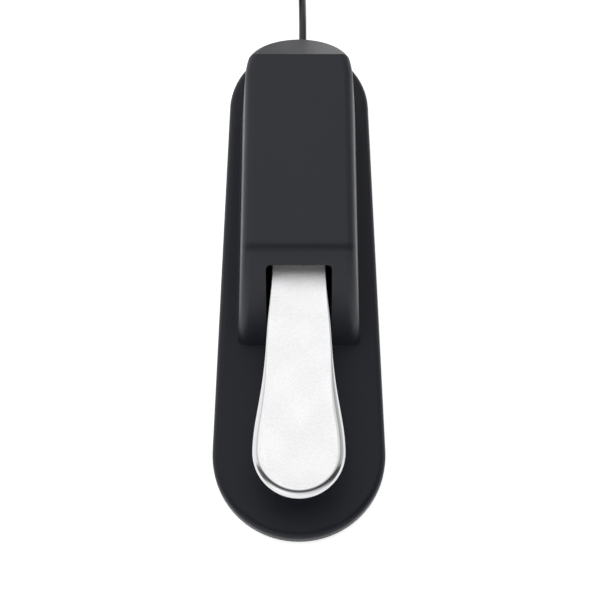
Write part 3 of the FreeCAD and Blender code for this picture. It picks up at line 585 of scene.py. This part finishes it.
def neck_curve():
    """Half width of the lever against its length: a cubic through the neck's stations, level at both ends."""
    stations = [(BULB_RADIUS - LEVER_REACH, BULB_RADIUS)] + NECK
    y = np.array([s[0] for s in stations])
    x = np.array([s[1] for s in stations])
    count = len(stations)
    step = np.diff(y)
    slope = np.diff(x) / step
    matrix = np.zeros((count, count))
    right = np.zeros(count)
    matrix[0, 0] = matrix[-1, -1] = 1.0
    for k in range(1, count - 1):
        matrix[k, k - 1] = 1 / step[k - 1]
        matrix[k, k] = 2 * (1 / step[k - 1] + 1 / step[k])
        matrix[k, k + 1] = 1 / step[k]
        right[k] = 3 * (slope[k - 1] / step[k - 1] + slope[k] / step[k])
    gradient = np.linalg.solve(matrix, right)

    def half_width(at):
        k = int(np.clip(np.searchsorted(y, at) - 1, 0, count - 2))
        t = (at - y[k]) / step[k]
        return ((2 * t**3 - 3 * t**2 + 1) * x[k] + (t**3 - 2 * t**2 + t) * step[k] * gradient[k]
                + (3 * t**2 - 2 * t**3) * x[k + 1] + (t**3 - t**2) * step[k] * gradient[k + 1])

    return half_width


def lever_plan():
    """Outline points (x, y), anticlockwise: down the left side, round the toe, back along the right side."""
    half_width = neck_curve()
    bulb_y = BULB_RADIUS - LEVER_REACH
    side = [(half_width(y), y) for y in np.linspace(bulb_y, NECK[-1][0], SIDE_POINTS)]
    side += [(NECK[-1][1], y) for y in np.linspace(NECK[-1][0], LEVER_BACK, BACK_POINTS)[1:]]
    toe = []
    for k in range(1, TOE_POINTS):
        angle = -math.pi * k / TOE_POINTS
        toe.append((-BULB_RADIUS * math.cos(angle), bulb_y + BULB_RADIUS * math.sin(angle)))
    left = [(-x, y) for x, y in reversed(side)]
    return left + toe + side


def outward(points):
    """Unit normals of a closed anticlockwise outline."""
    normals = []
    count = len(points)
    for k in range(count):
        before, after = Vector(points[k - 1]), Vector(points[(k + 1) % count])
        along = (after - before).normalized()
        normals.append(Vector((along.y, -along.x)))
    return normals


def lip_radius(y):
    """Radius of the rolled edge, which fades out along the neck."""
    return LIP + (NECK_EDGE - LIP) * smooth((y - LIP_FROM) / (LIP_TO - LIP_FROM))


def lever_rings(points, normals):
    """Stack of outlines from the rim's lower edge up over the rolled edge."""
    rings = []
    for inset, z in ((0.5, LEVER_LOW), (0.15, LEVER_LOW + 0.15), (0.0, LEVER_LOW + 0.5)):
        rings.append([(p[0] - n.x * inset, p[1] - n.y * inset, z) for p, n in zip(points, normals)])
    for k in range(LIP_STEPS + 1):
        angle = math.pi / 2 * k / LIP_STEPS
        ring = []
        for p, n in zip(points, normals):
            radius = lip_radius(p[1])
            inset = radius * (1 - math.cos(angle))
            ring.append((p[0] - n.x * inset, p[1] - n.y * inset, LEVER_TOP - radius * (1 - math.sin(angle))))
        rings.append(ring)
    return rings


def solid_from_rings(name, rings):
    """Closed mesh: walls between neighbouring rings, flat faces at both ends."""
    count = len(rings[0])
    vertices = [vertex for ring in rings for vertex in ring]
    faces = [tuple(range(count - 1, -1, -1)), tuple(range((len(rings) - 1) * count, len(rings) * count))]
    for level in range(len(rings) - 1):
        for k in range(count):
            a, b = level * count + k, level * count + (k + 1) % count
            faces.append((a, b, b + count, a + count))
    mesh = bpy.data.meshes.new(name)
    mesh.from_pydata(vertices, [], faces)
    mesh.update()
    return mesh


def block_mesh(half, y0, y1, z0, z1):
    corners = [(-half, y0), (half, y0), (half, y1), (-half, y1)]
    return solid_from_rings("block", [[(x, y, z) for x, y in corners] for z in (z0, z1)])


def cut(target, tool_mesh):
    """Cut a mesh out of the target."""
    tool = bpy.data.objects.new("tool", tool_mesh)
    bpy.context.scene.collection.objects.link(tool)
    modifier = target.modifiers.new("cut", "BOOLEAN")
    modifier.operation = "DIFFERENCE"
    modifier.solver = "EXACT"
    modifier.object = tool
    bpy.context.view_layer.update()
    graph = bpy.context.evaluated_depsgraph_get()
    result = bpy.data.meshes.new_from_object(target.evaluated_get(graph))
    target.modifiers.clear()
    target.data = result
    bpy.data.objects.remove(tool)


def lever_pocket(points, normals):
    """Hollow under the bulb and the neck, left solid where the ribs run."""
    inner = [(p[0] - n.x * RIM_WALL, p[1] - n.y * RIM_WALL)
             for p, n in zip(points, normals) if p[1] < HOLLOW_END]
    rings = [[(x, y, z) for x, y in inner] for z in (LEVER_LOW - 2, LEVER_TOP - SKIN)]
    pocket = bpy.data.objects.new("pocket", solid_from_rings("pocket", rings))
    bpy.context.scene.collection.objects.link(pocket)
    cut(pocket, block_mesh(RIB_HALF, -LEVER_REACH, HOLLOW_END + 10, LEVER_LOW + 1, LEVER_TOP))
    for y in CROSS_RIBS:
        cut(pocket, block_mesh(BLOCK_HALF, y - RIB_HALF, y + RIB_HALF, LEVER_LOW + 1, LEVER_TOP))
    mesh = pocket.data
    bpy.data.objects.remove(pocket)
    return mesh


def make_lever(materials):
    points = lever_plan()
    normals = outward(points)
    mesh = solid_from_rings("lever_casting", lever_rings(points, normals))
    mesh.materials.append(materials["plated_lever"])
    mesh.materials.append(materials["polished_plate"])
    lever = bpy.data.objects.new("lever_casting", mesh)
    bpy.context.scene.collection.objects.link(lever)
    cut(lever, lever_pocket(points, normals))
    cut(lever, block_mesh(BLOCK_HALF, RELIEF_FRONT, LEVER_BACK + 1, LEVER_LOW - 1, CARRIER_TOP))

    mesh = lever.data
    for face in mesh.polygons:
        face.material_index = 0 if is_satin(face) else 1
        face.use_smooth = True
    mesh.set_sharp_from_angle(angle=math.radians(32))
    keep_top_flat(mesh)
    mesh.transform(Matrix.Scale(MM, 4))
    mesh.transform(Matrix.Translation(PIVOT) @ Matrix.Rotation(LEVER_TILT, 4, "X"))
    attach(lever, "pedal")
    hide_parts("lever")


def is_satin(face):
    """The top, the underside and the hidden end are satin; the rim and the rolled edge are polished."""
    top = face.normal.z > FLAT
    under = face.center.z < CARRIER_TOP + 1 and abs(face.normal.z) > 0.99
    hidden = face.center.y > HOLLOW_END or face.center.z < LEVER_LOW + 0.01
    return top or under or hidden


def keep_top_flat(mesh):
    """The flat top doesn't share normals with the rolled edge round it."""
    work = bmesh.new()
    work.from_mesh(mesh)
    for edge in work.edges:
        flat = [face.normal.z > FLAT for face in edge.link_faces]
        if len(flat) == 2 and flat[0] != flat[1]:
            edge.smooth = False
    work.to_mesh(mesh)
    work.free()


# ---- spring --------------------------------------------------------------------------------------

def spring_points():
    """Closed end turns and open turns between them."""
    height = SPRING_HIGH - SPRING_LOW - 2 * WIRE_RADIUS
    closed_pitch = 2 * WIRE_RADIUS * 1.05
    open_turns = SPRING_TURNS - 2 * SPRING_CLOSED
    open_pitch = (height - 2 * SPRING_CLOSED * closed_pitch) / open_turns
    points = []
    for k in range(int(SPRING_TURNS * SPRING_STEPS) + 1):
        turn = k / SPRING_STEPS
        low = min(turn, SPRING_CLOSED) * closed_pitch
        middle = min(max(turn - SPRING_CLOSED, 0), open_turns) * open_pitch
        high = max(turn - SPRING_CLOSED - open_turns, 0) * closed_pitch
        angle = 2 * math.pi * turn
        points.append(Vector((SPRING_RADIUS * math.cos(angle), SPRING_Y + SPRING_RADIUS * math.sin(angle),
                              SPRING_LOW + WIRE_RADIUS + low + middle + high)))
    return points


def tube_mesh(name, points, radius, sides):
    """Round tube through points that lie close together, closed at both ends."""
    rings = []
    for k, point in enumerate(points):
        before, after = points[max(k - 1, 0)], points[min(k + 1, len(points) - 1)]
        along = (after - before).normalized()
        across = along.cross(Vector((0, 0, 1))).normalized()
        up = across.cross(along)
        rings.append([point + (across * math.cos(a) - up * math.sin(a)) * radius
                      for a in (2 * math.pi * s / sides for s in range(sides))])
    mesh = solid_from_rings(name, rings)
    for face in mesh.polygons:
        face.use_smooth = len(face.vertices) == 4
    return mesh


def make_spring(materials):
    mesh = tube_mesh("return_spring_wire", spring_points(), WIRE_RADIUS, WIRE_SIDES)
    mesh.transform(Matrix.Scale(MM, 4))
    mesh.materials.append(materials["spring_steel"])
    spring = new_object("return_spring_wire", mesh, "base")
    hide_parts("return_spring")
    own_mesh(spring)


# ---- carried-over nodes --------------------------------------------------------------------------

def finish_nodes(materials):
    """Give every CAD node the material of its slot."""
    for row in frame["record"]["subparts"]:
        data = frame["nodes"][row["node"]].data
        data.materials.clear()
        data.materials.append(materials[row["material_slot"]])


make_camera()
materials = make_materials()
finish_nodes(materials)
lead = make_lead(materials)
make_tie(materials)
make_inner_leads(materials)
make_shell(materials)
make_lever(materials)
make_spring(materials)
make_floor()
make_light()
